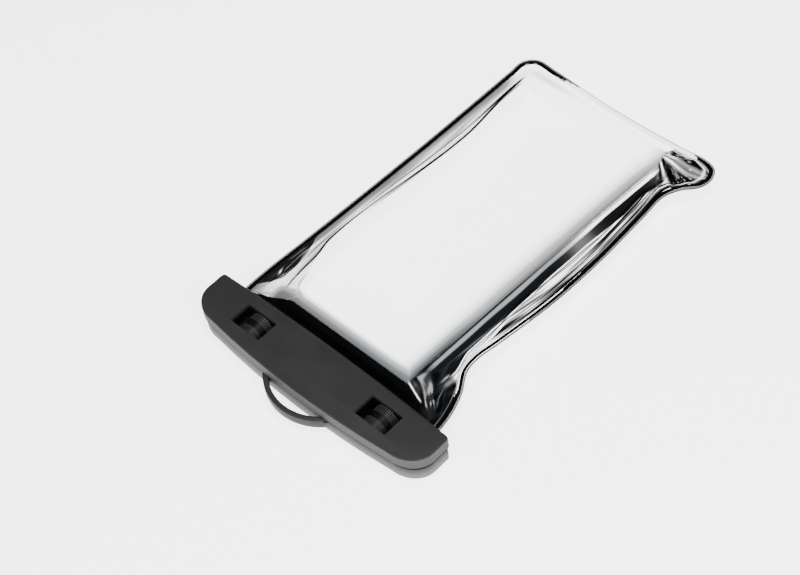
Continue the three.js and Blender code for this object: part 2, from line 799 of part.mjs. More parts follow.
addPiece("rear_jaw", rearJaw(), charcoal);
addPiece("rear_seal", sealStrip(rearLand + sealProud - sealHeight, 1), silicone);
addPiece("front_cover", frontCover(), charcoal);
addPiece("roller_carrier", rollerCarrier(), charcoal);
addPiece("front_seal", sealStrip(coverBottom - sealProud + sealHeight, -1), silicone);
screwPlaces.forEach(([x, y], index) => {
  addPiece(`cover_screw_${index + 1}`, coverScrew(), steel).position.set(x, y, 0);
});
for (const [name, side] of Object.entries(sides)) {
  const x = side * rollerSpread;
  const pinHalf = saddleOuter - clearance / 2;
  addPiece(`thumb_roller_${name}`, thumbRoller(x), glossBlack);
  addPiece(`roller_pin_${name}`, crossRod(pinRadius, -pinHalf, pinHalf, x, rollerHeight), steel);
  addPiece(`guide_pin_${name}`, guidePin(), steel).position.set(side * guideSpread, guideOffset, 0);
}

// The rear band ends a ring short of the pocket's flat face, which lies on the table
const frontSurface = filmSurface(1);
const backSurface = filmSurface(-1);
const frontRings = ringShares.length - 1;
const backRings = frontRings - 1;
const bandEnd = clearance + bandThickness;
const frontBand = thicken(mouthStrip(frontSurface, frontRings), clearance, bandEnd);
const backBand = thicken(mouthStrip(backSurface, backRings), clearance, bandEnd);
addPiece("front_film", thicken(withFlatFace(frontSurface), -filmThickness, 0), clearFilm);
addPiece("back_film", thicken(withFlatFace(backSurface), -filmThickness, 0), clearFilm);
addPiece("front_mouth_band", frontBand, glossBlack);
addPiece("back_mouth_band", withEars(backBand), glossBlack);
addPiece("weld_rim", weldedBorder(), glossBlack);

// The origin goes under the middle of the outline
const box = new THREE.Box3().setFromObject(pouch);
const middle = box.getCenter(new THREE.Vector3());
pouch.position.set(-middle.x, -middle.y, -box.min.z);

export default pouch;
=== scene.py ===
import math

import bpy
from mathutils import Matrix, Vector, noise


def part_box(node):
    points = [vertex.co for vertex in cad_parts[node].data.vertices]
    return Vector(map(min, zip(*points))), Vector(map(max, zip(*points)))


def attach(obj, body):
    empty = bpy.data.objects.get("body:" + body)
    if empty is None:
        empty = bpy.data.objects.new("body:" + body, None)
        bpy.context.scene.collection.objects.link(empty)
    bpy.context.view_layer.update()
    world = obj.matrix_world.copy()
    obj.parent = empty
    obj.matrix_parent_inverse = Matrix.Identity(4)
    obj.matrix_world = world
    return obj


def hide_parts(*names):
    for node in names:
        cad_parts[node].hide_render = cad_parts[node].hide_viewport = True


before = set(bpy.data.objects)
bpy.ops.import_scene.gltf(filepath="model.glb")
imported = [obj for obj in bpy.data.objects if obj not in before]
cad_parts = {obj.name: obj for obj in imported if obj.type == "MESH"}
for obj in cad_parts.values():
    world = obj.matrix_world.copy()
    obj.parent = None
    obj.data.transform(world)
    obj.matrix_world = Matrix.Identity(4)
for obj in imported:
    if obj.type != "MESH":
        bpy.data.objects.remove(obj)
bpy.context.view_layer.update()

# The room: a lit white table under the pouch and three soft lights over it. The camera stands 70 cm away,
# above the near right corner, where the photograph was taken from.
camera_turn = [math.radians(degrees) for degrees in (37.991, 5.533, 43.401)]
bpy.ops.object.camera_add(location=(0.31925, -0.29541, 0.53836), rotation=camera_turn)
camera = bpy.context.object
camera.data.lens = 80.17
camera.data.sensor_width = 36
camera.data.clip_start = 0.01
bpy.context.scene.camera = camera


def new_finish(name, settings):
    material = bpy.data.materials.new(name)
    material.use_nodes = True
    shader = material.node_tree.nodes["Principled BSDF"]
    for socket, value in settings.items():
        shader.inputs[socket].default_value = value
    return material


table_size = 6
table_drop = 0.0003
bpy.ops.mesh.primitive_plane_add(size=table_size, location=(0, 0, -table_drop))
floor = bpy.context.object
floor.name = "floor"
table_settings = {
    "Base Color": (0.8, 0.8, 0.8, 1),
    "Roughness": 0.9,
    "Specular IOR Level": 0,
    "Emission Color": (1, 1, 1, 1),
    "Emission Strength": 3.4,
}
floor.data.materials.append(new_finish("lit_white_table", table_settings))

world = bpy.data.worlds.new("studio")
world.use_nodes = True
world.node_tree.nodes["Background"].inputs["Color"].default_value = (1, 1, 1, 1)
world.node_tree.nodes["Background"].inputs["Strength"].default_value = 0.06
bpy.context.scene.world = world

for name, place, size, power in (
    ("top_light", (0.2, 0.0, 1.2), 0.4, 16.0),
    ("right_light", (0.8, -0.15, 0.55), 0.35, 8.0),
    ("near_light", (0.1, -0.85, 0.6), 0.4, 8.0),
):
    light = bpy.data.lights.new(name, "AREA")
    light.size = size
    light.energy = power
    lamp = bpy.data.objects.new(name, light)
    lamp.location = place
    lamp.rotation_euler = (-Vector(place)).to_track_quat("-Z", "Y").to_euler()
    bpy.context.scene.collection.objects.link(lamp)


# The front cover of the clamp bar: a moulded shell in matt charcoal plastic with two windows. Its outer wall
# is painted a lighter grey all round, as a painted reflection of the bright table, and it is screwed down on
# the roller carrier from behind.
cad_merge_distance = 0.000002
flat_degrees = 0.5


def edited(piece, *steps):
    bpy.ops.object.select_all(action="DESELECT")
    piece.select_set(True)
    bpy.context.view_layer.objects.active = piece
    bpy.ops.object.mode_set(mode="EDIT")
    bpy.ops.mesh.select_all(action="SELECT")
    for step in steps:
        step()
    bpy.ops.object.mode_set(mode="OBJECT")


def finished_copy(node, name, sharp_degrees=32):
    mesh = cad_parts[node].data.copy()
    mesh.materials.clear()
    piece = bpy.data.objects.new(name, mesh)
    bpy.context.scene.collection.objects.link(piece)
    edited(
        piece,
        lambda: bpy.ops.mesh.remove_doubles(threshold=cad_merge_distance),
        lambda: bpy.ops.mesh.dissolve_limited(angle_limit=math.radians(flat_degrees)),
    )
    bpy.ops.object.shade_smooth_by_angle(angle=math.radians(sharp_degrees))
    return piece


def object_noise(material, scale, detail=2):
    nodes, links = material.node_tree.nodes, material.node_tree.links
    place = nodes.new("ShaderNodeTexCoord")
    pattern = nodes.new("ShaderNodeTexNoise")
    pattern.inputs["Scale"].default_value = scale
    pattern.inputs["Detail"].default_value = detail
    links.new(place.outputs["Object"], pattern.inputs["Vector"])
    return pattern.outputs["Fac"]


def ranged(material, source, from_ends, to_ends):
    span = material.node_tree.nodes.new("ShaderNodeMapRange")
    ends = zip(("From Min", "From Max", "To Min", "To Max"), (*from_ends, *to_ends))
    for socket, value in ends:
        span.inputs[socket].default_value = value
    material.node_tree.links.new(source, span.inputs["Value"])
    return span.outputs["Result"]


def colour_ramp(material, source, stops):
    ramp = material.node_tree.nodes.new("ShaderNodeValToRGB")
    elements = ramp.color_ramp.elements
    for element, (place, colour) in zip(elements, stops[:2]):
        element.position = place
        element.color = (*colour, 1)
    for place, colour in stops[2:]:
        elements.new(place).color = (*colour, 1)
    material.node_tree.links.new(source, ramp.inputs["Fac"])
    return ramp.outputs["Color"]


def bumped(material, pattern, strength, depth):
    bump = material.node_tree.nodes.new("ShaderNodeBump")
    bump.inputs["Strength"].default_value = strength
    bump.inputs["Distance"].default_value = depth
    material.node_tree.links.new(pattern, bump.inputs["Height"])
    return bump.outputs["Normal"]


patch_scale = 60
patch_shades = ((0.3, 0.88), (0.7, 1.1))
grain_detail = 3
grain_strength = 0.35
grain_spread = 0.15


def grained_plastic(name, colour, roughness, grain_size, grain_depth, gloss=0.5):
    material = new_finish(name, {"Specular IOR Level": gloss})
    links = material.node_tree.links
    shader = material.node_tree.nodes["Principled BSDF"]
    grain = object_noise(material, 1 / grain_size, grain_detail)
    patches = object_noise(material, patch_scale)
    stops = [(place, [share * value for value in colour]) for place, share in patch_shades]
    links.new(colour_ramp(material, patches, stops), shader.inputs["Base Color"])
    rough_ends = (roughness * (1 - grain_spread), roughness * (1 + grain_spread))
    links.new(ranged(material, grain, (0, 1), rough_ends), shader.inputs["Roughness"])
    links.new(bumped(material, grain, grain_strength, grain_depth), shader.inputs["Normal"])
    return material


def object_axes(material):
    place = material.node_tree.nodes.new("ShaderNodeTexCoord")
    axes = material.node_tree.nodes.new("ShaderNodeSeparateXYZ")
    material.node_tree.links.new(place.outputs["Object"], axes.inputs["Vector"])
    return axes


def grey(shade):
    return (shade, shade, shade)


charcoal = grained_plastic(
    "charcoal_matt_plastic", (0.02, 0.0198, 0.0205), 0.55, grain_size=0.0004, grain_depth=0.00002, gloss=0.15
)
# The bar's outer wall: a grey lighter than the charcoal, a painted reflection of the bright table.
painted_side_light = grained_plastic(
    "painted_reflection_side_grey", grey(0.08), 0.5, grain_size=0.0004, grain_depth=0.000008, gloss=0.02
)
bar_thickness = 0.013
# Painted light by height on the outer wall: a pale foot of painted glare on the rear jaw, a dark line of
# painted shade at its top under the cover, and the lighter grey of painted reflection above.
painted_side_bands = [
    (0.16, (0.12, 0.12, 0.122)), (0.36, (0.06, 0.06, 0.061)), (0.46, grey(0.05)), (0.48, grey(0.003)),
    (0.58, grey(0.003)), (0.6, grey(0.052)), (0.95, grey(0.062)),
]
side_height = ranged(painted_side_light, object_axes(painted_side_light).outputs["Z"], (0, bar_thickness), (0, 1))
side_light_ramp = colour_ramp(painted_side_light, side_height, painted_side_bands)
side_shader = painted_side_light.node_tree.nodes["Principled BSDF"]
painted_side_light.node_tree.links.new(side_light_ramp, side_shader.inputs["Base Color"])

cover = finished_copy("front_cover", "front_cover_shell")
cover_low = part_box("front_cover")[0]
cover_half_width = 0.0121
bar_centre = cover_low.y + cover_half_width
bar_middle = Vector((0, bar_centre, 0))
round_end_start = 0.048
straight_side = (-0.0122, -0.007)
pocket_side_limit = 0.0085
steepest_rise = 0.45


def on_outer_wall(face):
    out = face.center - bar_middle
    outward = face.normal.x * out.x + face.normal.y * out.y > 0
    at_ends = abs(out.x) > round_end_start
    at_side = straight_side[0] < out.y < straight_side[1]
    in_reach = out.y < pocket_side_limit and (at_ends or at_side)
    return abs(face.normal.z) < steepest_rise and outward and in_reach


# Puts the painted side light on the outer walls of either half of the bar.
def finish_bar_half(piece):
    piece.data.materials.append(charcoal)
    piece.data.materials.append(painted_side_light)
    for face in piece.data.polygons:
        if on_outer_wall(face):
            face.material_index = 1


finish_bar_half(cover)
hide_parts("front_cover")
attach(cover, "front_jaw")

# The rear jaw: the back half of the bar, moulded in the same charcoal plastic with the posts that the
# rollers draw in and with the arched lanyard loop. The pouch stays on it when the front jaw comes off.
rear = finished_copy("rear_jaw", "rear_jaw_moulding")
finish_bar_half(rear)
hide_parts("rear_jaw")
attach(rear, "pouch")

# The roller carrier: a dark moulded plate inside the cover, seen only through the two windows. It holds
# the rollers' pins in four saddles.
carrier_black = grained_plastic(
    "carrier_black_plastic", (0.002, 0.002, 0.0022), 0.5, grain_size=0.0005, grain_depth=0.00001, gloss=0.1
)


def refinish(node, material):
    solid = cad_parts[node]
    solid.data.materials.clear()
    solid.data.materials.append(material)


refinish("roller_carrier", carrier_black)

# The seal strips: soft black silicone pressed into grooves of both jaws, one on each side of the film.
# They squeeze the film flat along the whole mouth.
silicone = grained_plastic(
    "silicone_black", (0.02, 0.02, 0.021), 0.75, grain_size=0.0003, grain_depth=0.00001
)
for node in ("front_seal", "rear_seal"):
    refinish(node, silicone)

# The pins and screws: turned steel guide pins and roller pins, and plated screws that hold the carrier in
# the cover from behind.
turned_steel = grained_plastic(
    "turned_steel", (0.55, 0.56, 0.57), 0.28, grain_size=0.0002, grain_depth=0.000004
)
turned_steel.node_tree.nodes["Principled BSDF"].inputs["Metallic"].default_value = 1
steel_nodes = ["guide_pin_left", "guide_pin_right", "roller_pin_left", "roller_pin_right"]
steel_nodes += [f"cover_screw_{number}" for number in (1, 2, 3, 4)]
for node in steel_nodes:
    refinish(node, turned_steel)

# The thumb rollers: satin black moulded wheels with two finely knurled flanges and a smooth drum between
# them. They turn on steel pins in the carrier; their knurl ridges carry painted highlight over painted shade
# in the grooves, and painted rings of highlight run round the drum's edges and the flanges' outer edges.
roller_height = 0.0068
roller_spread = 0.0326
roller_half_length = 0.0044
roller_sharp_degrees = 25
ridge_radii = (0.00532, 0.0056)
ridge_painted_highlights = (0.0008, 0.038)
ring_painted_highlights = [(0, 0.003), (1, 0.03), (0.3, 0.003), (0.36, 0.018), (0.41, 0.0), (0.95, 0.0)]


def roller_with_painted_highlights(side, roller_x):
    roller_paint = grained_plastic(
        f"roller_satin_black_{side}", (0.004, 0.004, 0.0042), 0.38,
        grain_size=0.0006, grain_depth=0.000004, gloss=0.1,
    )
    nodes = roller_paint.node_tree.nodes
    links = roller_paint.node_tree.links
    place = nodes.new("ShaderNodeTexCoord")
    from_axis = nodes.new("ShaderNodeVectorMath")
    from_axis.operation = "SUBTRACT"
    from_axis.inputs[1].default_value = (roller_x, bar_middle.y, roller_height)
    links.new(place.outputs["Object"], from_axis.inputs[0])
    axes = nodes.new("ShaderNodeSeparateXYZ")
    links.new(from_axis.outputs["Vector"], axes.inputs["Vector"])
    flat = nodes.new("ShaderNodeCombineXYZ")
    for axis in ("X", "Z"):
        links.new(axes.outputs[axis], flat.inputs[axis])
    radius = nodes.new("ShaderNodeVectorMath")
    radius.operation = "LENGTH"
    links.new(flat.outputs["Vector"], radius.inputs[0])
    # Painted highlight on the knurl ridges and painted shade in the grooves, by distance from the axis.
    ridge_highlights = ranged(roller_paint, radius.outputs["Value"], ridge_radii, ridge_painted_highlights)
    sideways = nodes.new("ShaderNodeMath")
    sideways.operation = "ABSOLUTE"
    links.new(axes.outputs["Y"], sideways.inputs[0])
    across = ranged(roller_paint, sideways.outputs["Value"], (0, roller_half_length), (0, 1))
    # Painted rings of highlight at the drum's edges and the flanges' outer edges.
    ring_highlights = colour_ramp(roller_paint, across, [(place, grey(shade)) for place, shade in ring_painted_highlights])
    total = nodes.new("ShaderNodeMix")
    total.data_type = "RGBA"
    total.blend_type = "ADD"
    total.inputs["Factor"].default_value = 1
    links.new(ridge_highlights, total.inputs["A"])
    links.new(ring_highlights, total.inputs["B"])
    links.new(total.outputs["Result"], nodes["Principled BSDF"].inputs["Base Color"])
    return roller_paint


for side, roller_x in (("left", -roller_spread), ("right", roller_spread)):
    roller = finished_copy(f"thumb_roller_{side}", f"knurled_roller_{side}", roller_sharp_degrees)
    roller.data.materials.append(roller_with_painted_highlights(side, roller_x))
    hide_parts(f"thumb_roller_{side}")
    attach(roller, f"roller_{side}")

# The welded border: both films and a black edging strip, heat welded into one flat glossy band that runs
# from one end of the clamp round to the other. A thin trimmed lip stands outside a narrow clear groove.
millimetre = 0.001
bar_centre_y = bar_centre / millimetre
film_plane = 6.5
border_path = [
    (49.6, 6.3, 6.5), (49.5, 12, 6.5), (48.2, 20, 6.7), (45.4, 28, 7.2), (40.9, 36, 8), (40.1, 43, 8.2),
    (41.4, 54, 7.8), (44.4, 80, 7.4), (45.3, 106, 7.4), (44.4, 134, 7.4), (44.1, 147, 7.6), (47.4, 154, 7.9),
    (52.2, 159.4, 8), (53.3, 164.6, 8), (51.3, 169, 8), (46, 170.7, 7.8), (36, 170.2, 7.6), (0, 170, 7.4),
    (-32, 172.2, 7.4), (-41.5, 172.4, 7.4), (-45.4, 168.4, 7.4), (-45.6, 160, 7.4), (-46.3, 106, 7.4),
    (-48.4, 48, 7.2), (-49.9, 24, 6.8), (-50.1, 14, 6.5), (-49.6, 6.3, 6.5),
]
last_place = len(border_path) - 1.0001


def blend_between(low, high, value):
    share = min(max((value - low) / (high - low), 0), 1)
    return share * share * (3 - 2 * share)


def border_at(place):
    place = min(max(place, 0), last_place)
    index = int(place)
    points = [Vector(point) for point in border_path]
    before = points[index - 1] if index > 0 else 2 * points[0] - points[1]
    after = points[index + 2] if index + 2 < len(points) else 2 * points[-1] - points[-2]
    here, there = points[index], points[index + 1]
    ahead = there - here
    first, middle, last = [gap.length**0.5 for gap in (here - before, ahead, after - there)]
    leave = ((here - before) / first - (there - before) / (first + middle) + ahead / middle) * middle
    arrive = (ahead / middle - (after - here) / (middle + last) + (after - there) / last) * middle
    t = place - index
    point = (
        (2 * t**3 - 3 * t**2 + 1) * here + (t**3 - 2 * t**2 + t) * leave
        + (3 * t**2 - 2 * t**3) * there + (t**3 - t**2) * arrive
    )
    along = (
        (6 * t**2 - 6 * t) * here + (3 * t**2 - 4 * t + 1) * leave
        + (6 * t - 6 * t**2) * there + (3 * t**2 - 2 * t) * arrive
    )
    outward = Vector((along.y, -along.x, 0)).normalized()
    return point, outward


def shaped_grid(name, columns, rows, shape):
    bpy.ops.object.select_all(action="DESELECT")
    bpy.ops.mesh.primitive_grid_add(x_subdivisions=columns, y_subdivisions=rows, size=1, calc_uvs=True)
    piece = bpy.context.object
    piece.name = name
    for vertex in piece.data.vertices:
        point = shape(vertex.co.x + 0.5, vertex.co.y + 0.5)
        vertex.co = (point.x * millimetre, (point.y + bar_centre_y) * millimetre, point.z * millimetre)
    return piece


seam_distance = 0.000005


def closed_up(piece):
    edited(piece, lambda: bpy.ops.mesh.remove_doubles(threshold=seam_distance))


film_ripple_scale = 90
film_ripple_detail = 3
film_ripple_strength = 0.3
film_gloss_spread = 0.3


def glossy_film(name, colour, roughness, ripple_depth):
    material = new_finish(name, {"Base Color": (*colour, 1)})
    links = material.node_tree.links
    shader = material.node_tree.nodes["Principled BSDF"]
    ripple = object_noise(material, film_ripple_scale, film_ripple_detail)
    rough_ends = (roughness * (1 - film_gloss_spread), roughness * (1 + film_gloss_spread))
    links.new(ranged(material, ripple, (0, 1), rough_ends), shader.inputs["Roughness"])
    links.new(bumped(material, ripple, film_ripple_strength, ripple_depth), shader.inputs["Normal"])
    return material


border_section = [
    (1.3, -0.1), (1.3, 0.22), (1.24, 0.3), (1.1, 0.3), (1.04, 0.28), (0.52, 0.28), (0.48, 0.32), (0.36, 0.42),
    (0.1, 0.46), (-0.6, 0.46), (-1.0, 0.4), (-1.2, 0.2), (-1.3, 0), (-1.2, -0.2), (-1.0, -0.4), (0.35, -0.42),
    (0.6, -0.2), (1.2, -0.2), (1.3, -0.1),
]
border_steps = 520


def border_surface(along, around):
    point, outward = border_at(along * (len(border_path) - 1))
    across, up = border_section[round(around * (len(border_section) - 1))]
    return point + outward * across + Vector((0, 0, up))


border = shaped_grid("welded_border", border_steps, len(border_section) - 1, border_surface)
black_film = glossy_film("black_weld_film", (0.001, 0.001, 0.0012), 0.14, 0.0002)
clear_weld_settings = {"Base Color": (0.8, 0.8, 0.8, 1), "Roughness": 0.15, "Alpha": 0.3}
border.data.materials.append(black_film)
border.data.materials.append(new_finish("clear_weld", clear_weld_settings))
groove_row = 4
inner_edge = -1.31
strip_width = 2.3
far_gap_opens, far_gap_closes = (15.1, 15.6), (17.45, 17.95)
thin_side_starts, thin_side_ends = (2.5, 3.2), (6.4, 8.2)
thin_side_share = 0.44
for face in border.data.polygons:
    row = min(vertex // (border_steps + 1) for vertex in face.vertices)
    column = min(vertex % (border_steps + 1) for vertex in face.vertices)
    place = column / border_steps * (len(border_path) - 1)
    across = (border_section[row][0] + border_section[row + 1][0]) / 2
    clear_share = min(blend_between(*far_gap_opens, place), 1 - blend_between(*far_gap_closes, place))
    thin = min(blend_between(*thin_side_starts, place), 1 - blend_between(*thin_side_ends, place))
    clear_share += thin_side_share * thin
    is_clear = row == groove_row or across < inner_edge + strip_width * clear_share
    face.material_index = 1 if is_clear else 0
closed_up(border)
edited(
    border,
    lambda: bpy.ops.mesh.fill_holes(sides=0),
    lambda: bpy.ops.mesh.normals_make_consistent(inside=False),
)
border_sharp_degrees = 35
bpy.ops.object.shade_smooth_by_angle(angle=math.radians(border_sharp_degrees))
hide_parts("weld_rim")
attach(border, "pouch")

# The front film: a clear glossy sheet, welded to the border all round and clamped at the mouth. It stands
# up over the pocket like a pillow, with creases along its walls and gathers at the clamp and far corner.
# Its painted tone is 1 where it is clear and falls to 0 where it mirrors the dark of the room: painted
# reflections in bands and streaks, painted dark lines along its creases, and painted glints of highlight.
pocket_top = 12.25
top_start = 21.5
top_end = 161
top_corner = 6
border_tuck = 1.22
film_start = 6.3
right_crease_x, right_crease_y = 31, 23
right_crease_lean, right_crease_bow = 0.0175, 0.00014
left_crease_x = -31.5
left_crease_bends = ((-7.5, 20, 48), (5, 50, 115), (-2.5, 118, 150))


def right_crease(y):
    ahead = y - right_crease_y
    return right_crease_x + right_crease_lean * ahead + right_crease_bow * ahead**2


def left_crease(y):
    x = left_crease_x
    for step, start, end in left_crease_bends:
        x += step * blend_between(start, end, y)
    return x


def corner_of_top(x, y, start_angle, share):
    angle = start_angle + share * math.pi / 2
    return Vector((x + top_corner * math.cos(angle), y + top_corner * math.sin(angle), 0))


def across_top(first_x, last_x, y, share):
    return Vector((first_x + (last_x - first_x) * share, y, 0))


def along_crease(crease, first_y, last_y, share):
    y = first_y + (last_y - first_y) * share
    return Vector((crease(y), y, 0))


near_y = top_start + top_corner
far_y = top_end - top_corner
corner_x = right_crease(near_y) - top_corner
far_corner_x = right_crease(far_y) - top_corner
left_corner_x = left_crease(near_y) + top_corner
left_far_x = left_crease(far_y) + top_corner
stretches = [
    (96, None, None, lambda share: across_top(left_corner_x, corner_x, top_start, share)),
    (60, 0, 3, lambda share: corner_of_top(corner_x, near_y, -math.pi / 2, share)),
    (150, 3, 10, lambda share: along_crease(right_crease, near_y, far_y, share)),
    (90, 10, 16, lambda share: corner_of_top(far_corner_x, far_y, 0, share)),
    (70, 16, 18, lambda share: across_top(far_corner_x, left_far_x, top_end, share)),
    (50, 18, 21, lambda share: corner_of_top(left_far_x, far_y, math.pi / 2, share)),
    (150, 21, 24, lambda share: along_crease(left_crease, far_y, near_y, share)),
    (60, 24, 26, lambda share: corner_of_top(left_corner_x, near_y, math.pi, share)),
]
round_steps = sum(stretch[0] for stretch in stretches)
wall_steps = 56
face_steps = 26
wall_share = wall_steps / (wall_steps + face_steps)
spine_inset = 30


def rim_and_top(along):
    step = along * round_steps
    for count, start, end, top_at in stretches:
        if step <= count:
            break
        step -= count
    share = min(step / count, 1)
    top = top_at(share)
    if start is None:
        half = border_path[0][0] - border_tuck
        return Vector((half * (2 * share - 1), film_start, film_plane)), top
    point, outward = border_at(start + (end - start) * share)
    edge = point - outward * border_tuck
    edge.y = max(edge.y, film_start)
    return edge, top


def spread_of(along, inward):
    edge, top = rim_and_top(along)
    if inward <= wall_share:
        share = inward / wall_share
        x = edge.x + (top.x - edge.x) * share
        y = edge.y + (top.y - edge.y) * share
    else:
        share = 1
        in_share = ((inward - wall_share) / (1 - wall_share)) ** 2
        spine_y = min(max(top.y, top_start + spine_inset), top_end - spine_inset)
        x = top.x * (1 - in_share)
        y = top.y + (spine_y - top.y) * in_share
    return edge, share, x, y


def ripples(first, second, seed):
    return noise.noise(Vector((first, second, seed)))


def streaks_along(y, across, kind, side=1):
    height, length, rows, seed = kind
    return height * ripples(y / length, across * rows, seed * side)


long_folds, short_folds = (0.5, 38, 4.5, 3), (0.16, 14, 9, 7)
fold_window_rate = 1.15
clamp_end_x, clamp_end_y, clamp_squash = 48, 11, 0.8
gather_height, gather_reach, gather_start = 1.3, 16, 6
gather_rays, gather_row = 5, 26
ear_x, ear_y = 34, 160
ear_fold_height, ear_fold_rays, ear_fold_row = 1.5, 4, 20
ear_fold_starts, ear_fold_ends = (0, 5), (15, 21)
ear_zone_x, ear_zone_y = 30, 148


def folds(x, y, share):
    if share >= 1:
        return 0
    window = math.sin(math.pi * min(share * fold_window_rate, 1))
    side = 1 if x > 0 else -1
    along_wall = streaks_along(y, share, long_folds, side) + streaks_along(y, share, short_folds, side)
    height = window * along_wall
    from_clamp = math.hypot(abs(x) - clamp_end_x, (y - clamp_end_y) * clamp_squash)
    clamp_angle = math.atan2(y - clamp_end_y, clamp_end_x + 1 - abs(x))
    gather = ripples(clamp_angle * gather_rays, from_clamp / gather_row, 11 * side)
    gather_rise = window * gather_height * gather
    height += gather_rise * math.exp(-from_clamp / gather_reach) * min(from_clamp / gather_start, 1)
    if x > ear_zone_x and y > ear_zone_y:
        reach = math.hypot(x - ear_x, y - ear_y)
        ear_angle = math.atan2(y - ear_y, x - ear_x)
        ear_fold = ripples(ear_angle * ear_fold_rays, reach / ear_fold_row, 5)
        ear_window = blend_between(*ear_fold_starts, reach) * (1 - blend_between(*ear_fold_ends, reach))
        height += ear_fold_height * ear_fold * ear_window
    return height


film_gap = 0.12
back_height = 0.1
back_fold_share = 0.6
wall_rise = (0.12, 1)
mouth_end = 11.3
mouth_half_height = 1.0
face_sag, face_ripple = 0.15, 0.12
table_clearance = 0.05


def film_surface(facing):
    height, fold_share = (pocket_top, 1) if facing > 0 else (back_height, back_fold_share)

    def shape(along, inward):
        edge, share, x, y = spread_of(along, inward)
        start = edge.z + facing * film_gap
        lengthwise = blend_between(mouth_end, top_start, y)
        rise = blend_between(*wall_rise, share) * lengthwise
        z = start + (height - start) * rise
        z += facing * folds(x, y, share) * lengthwise * fold_share
        if share >= 1:
            middle = blend_between(0, 1, (inward - wall_share) / (1 - wall_share))
            z -= facing * middle * (face_sag + face_ripple * ripples(x / 30, y / 45, 2))
        if y < mouth_end:
            z = min(max(z, film_plane - mouth_half_height), film_plane + mouth_half_height)
        return Vector((x, y, max(z, table_clearance)))

    return shape


def near(value, centre, width):
    return math.exp(-(((value - centre) / width) ** 2))


core_black = 0.05
core_starts, core_ends, core_end_edge = (2.0, 2.6), 4.8, 0.3
core_far_shift, far_half = 0.2, (106, 125)
core_spread, near_end = 2.6, (44, 32)
core_glow, core_glow_y, core_glow_length = 0.36, 107, 8
core_far_glow, core_far_glow_y = 0.2, (142, 155)
pale_width = 4
pale_near, pale_near_y = 0.6, (23, 30)
pale_far, pale_far_y = 0.35, (93, 118)
wander_height, wander_length = 0.25, 16
crease_line_depth, crease_line_x, crease_line_width = 0.8, 0.5, 0.34
crease_line_loss, crease_line_loss_y = 0.6, (60, 100)
bright_line_height, bright_line_x, bright_line_width = 0.4, 4.4, 0.2
bright_line_y, bright_line_length = 48, 12
core_line_depth, core_line_gap, core_line_width = 0.8, 0.8, 0.16
bundle_start, bundle_growth, bundle_grows_y = 0.3, 3.5, (46, 78)
bundle_loss, bundle_loss_y = 0.4, (138, 150)
bundle_mean, bundle_edge = 0.56, 0.15
broad_streaks, fine_streaks = (1.1, 34, 1.9, 9), (0.8, 16, 3.8, 14)
rim_shade, rim_shade_width = 0.45, 0.9
rim_line_depth, rim_line_gap, rim_line_width = 0.6, 0.7, 0.14


# The right wall's painted light: a dark band of painted reflection of the room, a grey strip beside the
# crease, thin dark painted lines at the crease and past the band, a short painted highlight line, and grey
# painted streaks of reflection by the border.
def right_wall_tone(x, y, rim_x):
    from_crease = x - right_crease(y)
    from_rim = rim_x - x
    wander = wander_height * ripples(y / wander_length, 0, 3)
    from_core = from_crease + wander
    far_share = blend_between(*far_half, y)
    core_start = core_starts[0] - core_far_shift * far_share
    core_full = core_starts[1] - 2 * core_far_shift * far_share
    core_end = core_ends + core_far_shift * far_share + core_spread * blend_between(*near_end, y)
    starts = blend_between(core_start, core_full, from_core)
    ends = blend_between(core_end, core_end + core_end_edge, from_core)
    pale = core_black + pale_near * blend_between(*pale_near_y, y) + pale_far * blend_between(*pale_far_y, y)
    core = core_black + core_glow * near(y, core_glow_y, core_glow_length)
    core += core_far_glow * blend_between(*core_far_glow_y, y)
    beside_core = pale if from_crease < pale_width else 1
    tone = beside_core + (core - beside_core) * starts * (1 - ends)
    line_kept = 1 - crease_line_loss * blend_between(*crease_line_loss_y, y)
    tone -= crease_line_depth * near(from_crease, crease_line_x, crease_line_width) * line_kept
    bright_line = bright_line_height * near(from_crease, bright_line_x + wander, bright_line_width)
    tone += bright_line * near(y, bright_line_y, bright_line_length)
    tone -= core_line_depth * near(from_core, core_end + core_line_gap, core_line_width) * (1 - far_share)
    bundle_kept = 1 - bundle_loss * blend_between(*bundle_loss_y, y)
    bundle = bundle_start + bundle_growth * blend_between(*bundle_grows_y, y) * bundle_kept
    streaks = bundle_mean + streaks_along(y, from_rim, broad_streaks)
    streaks += streaks_along(y, from_rim, fine_streaks)
    streaks -= rim_shade * near(from_rim, 0, rim_shade_width)
    in_bundle = 1 - blend_between(bundle - bundle_edge, bundle + bundle_edge, from_rim)
    tone += (streaks - tone) * in_bundle
    return tone - rim_line_depth * near(from_rim, bundle + rim_line_gap + wander, rim_line_width)


edge_depth, edge_starts = 0.85, (14, 5)
edge_near_loss, edge_near_loss_y = 0.4, (30, 62)
edge_far_loss, edge_far_loss_y = 0.12, (140, 160)
edge_reach, edge_reach_growth, edge_reach_grows_y = 2.6, 1.6, (30, 70)


# Painted shade: the pocket top darkens towards the right crease, where it turns down into the wall.
def top_edge_tone(x, y):
    right = right_crease(y)
    depth = edge_depth - edge_near_loss * blend_between(*edge_near_loss_y, y)
    depth -= edge_far_loss * blend_between(*edge_far_loss_y, y)
    reach = edge_reach + edge_reach_growth * blend_between(*edge_reach_grows_y, y)
    starts = blend_between(right - edge_starts[0], right - edge_starts[1], x)
    return 1 - depth * math.exp((x - right) / reach) * starts


